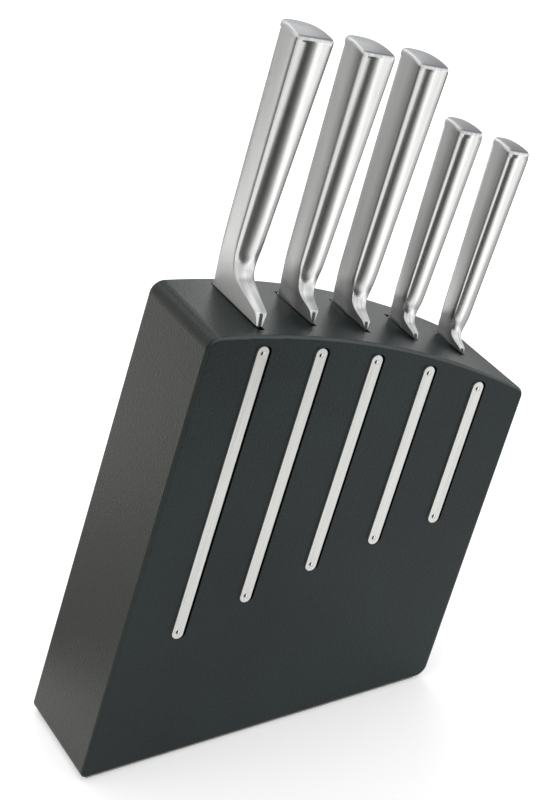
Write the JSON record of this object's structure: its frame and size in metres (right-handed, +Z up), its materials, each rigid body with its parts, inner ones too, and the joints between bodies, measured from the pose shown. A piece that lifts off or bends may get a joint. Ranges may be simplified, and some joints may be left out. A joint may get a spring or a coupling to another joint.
{
  "type": "knife block with knives",
  "caption": "Leaning slab-shaped knife block in matt black lacquer with an arched top, bare steel strips down its front and all-steel knives that draw out of slots along the lean.",
  "frame": {"origin": "centre of the base's length and thickness, on the floor under the anti-slip pad", "axes": "+X along the base, the way the block leans; +Y from the front face with the strips to the back; +Z up"},
  "size_m": [0.2401, 0.063, 0.3303],
  "materials": {
    "black_lacquer": "matt black soft-touch lacquer over board",
    "strip_steel": "fine lengthwise brushing",
    "pin_steel": "plain turned steel",
    "pad_foam": "grey anti-slip sheet",
    "handle_steel": "satin flanks, polished belly",
    "blade_steel": "satin ground"
  },
  "bodies": {
    "block": {"board_1": "black_lacquer", "board_2": "black_lacquer", "board_3": "black_lacquer", "board_4": "black_lacquer", "board_5": "black_lacquer", "board_6": "black_lacquer", "slot_spacers_1": "black_lacquer", "slot_spacers_2": "black_lacquer", "slot_spacers_3": "black_lacquer", "slot_spacers_4": "black_lacquer", "slot_spacers_5": "black_lacquer", "strip_1": "strip_steel", "strip_2": "strip_steel", "strip_3": "strip_steel", "strip_4": "strip_steel", "strip_5": "strip_steel", "strip_pins": "pin_steel", "base_pad": "pad_foam"},
    "chef_knife": {"chef_knife_blade": "blade_steel", "chef_knife_handle_left": "handle_steel", "chef_knife_handle_right": "handle_steel", "chef_knife_butt_cap": "handle_steel"},
    "bread_knife": {"bread_knife_blade": "blade_steel", "bread_knife_handle_left": "handle_steel", "bread_knife_handle_right": "handle_steel", "bread_knife_butt_cap": "handle_steel"},
    "carving_knife": {"carving_knife_blade": "blade_steel", "carving_knife_handle_left": "handle_steel", "carving_knife_handle_right": "handle_steel", "carving_knife_butt_cap": "handle_steel"},
    "utility_knife": {"utility_knife_blade": "blade_steel", "utility_knife_handle_left": "handle_steel", "utility_knife_handle_right": "handle_steel", "utility_knife_butt_cap": "handle_steel"},
    "paring_knife": {"paring_knife_blade": "blade_steel", "paring_knife_handle_left": "handle_steel", "paring_knife_handle_right": "handle_steel", "paring_knife_butt_cap": "handle_steel"}
  },
  "joints": [
    {"name": "chef_knife_draw", "type": "slide", "parent": "block", "child": "chef_knife", "axis": [0.309, 0, 0.9511], "range_m": [0, 0.205]},
    {"name": "bread_knife_draw", "type": "slide", "parent": "block", "child": "bread_knife", "axis": [0.309, 0, 0.9511], "range_m": [0, 0.195]},
    {"name": "carving_knife_draw", "type": "slide", "parent": "block", "child": "carving_knife", "axis": [0.309, 0, 0.9511], "range_m": [0, 0.185]},
    {"name": "utility_knife_draw", "type": "slide", "parent": "block", "child": "utility_knife", "axis": [0.309, 0, 0.9511], "range_m": [0, 0.135]},
    {"name": "paring_knife_draw", "type": "slide", "parent": "block", "child": "paring_knife", "axis": [0.309, 0, 0.9511], "range_m": [0, 0.095]}
  ]
}
